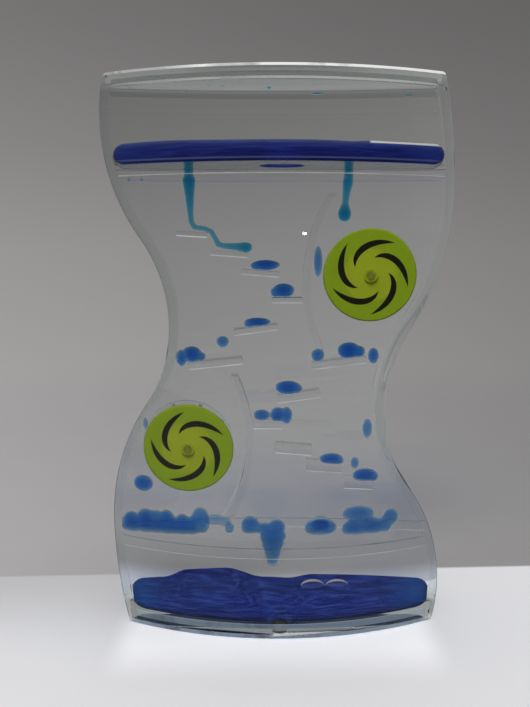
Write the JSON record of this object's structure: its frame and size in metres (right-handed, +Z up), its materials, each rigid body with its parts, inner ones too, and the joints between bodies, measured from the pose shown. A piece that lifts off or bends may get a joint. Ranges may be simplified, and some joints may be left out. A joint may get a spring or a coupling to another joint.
{
  "type": "liquid motion timer",
  "caption": "Clear wavy table timer filled with oil: dyed liquid drips from an upper chamber over ledges and turning paddle wheels into a lower chamber, either way up.",
  "frame": {"origin": "centre of the base, on the surface that the timer stands on", "axes": "+Z up along the height, +X across to the right, -Y towards the viewer in front"},
  "size_m": [0.086, 0.036, 0.14],
  "materials": {
    "clear_case": "clear moulded, polished",
    "clear_maze": "clear moulded, polished",
    "clear_rotor": "clear moulded",
    "lime_face": "translucent lime moulded, printed in near-black",
    "steel_pin": "drawn wire",
    "stopper": "dull olive",
    "dyed_liquid": "transparent deep blue liquid"
  },
  "bodies": {
    "case": {"front_shell": "clear_case", "rear_shell": "clear_case", "top_cap": "clear_case", "bottom_cap": "clear_case", "fill_plug": "stopper", "upper_deck": "clear_maze", "lower_deck": "clear_maze", "front_panel": "clear_maze", "rear_panel": "clear_maze", "upper_divider": "clear_maze", "lower_divider": "clear_maze", "upper_step_1": "clear_maze", "upper_step_2": "clear_maze", "upper_step_3": "clear_maze", "upper_step_4": "clear_maze", "upper_chute_1": "clear_maze", "upper_chute_2": "clear_maze", "lower_step_1": "clear_maze", "lower_step_2": "clear_maze", "lower_step_3": "clear_maze", "lower_step_4": "clear_maze", "lower_chute_1": "clear_maze", "lower_chute_2": "clear_maze", "upper_wheel_pin": "steel_pin", "lower_wheel_pin": "steel_pin", "top_colour_layer": "dyed_liquid", "bottom_colour_pool": "dyed_liquid", "stair_stream": "dyed_liquid", "wheel_stream": "dyed_liquid", "resting_drops": "dyed_liquid", "falling_drops": "dyed_liquid", "deck_puddles": "dyed_liquid"},
    "upper_wheel": {"upper_wheel_face": "lime_face", "upper_wheel_rotor": "clear_rotor"},
    "lower_wheel": {"lower_wheel_face": "lime_face", "lower_wheel_rotor": "clear_rotor"}
  },
  "joints": [
    {"name": "upper_wheel_spin", "type": "hinge", "parent": "case", "child": "upper_wheel", "pos_m": [0.02232, 0, 0.0923], "axis": [0, -1, 0], "continuous": true},
    {"name": "lower_wheel_spin", "type": "hinge", "parent": "case", "child": "lower_wheel", "pos_m": [-0.02232, 0, 0.0477], "axis": [0, -1, 0], "continuous": true}
  ]
}
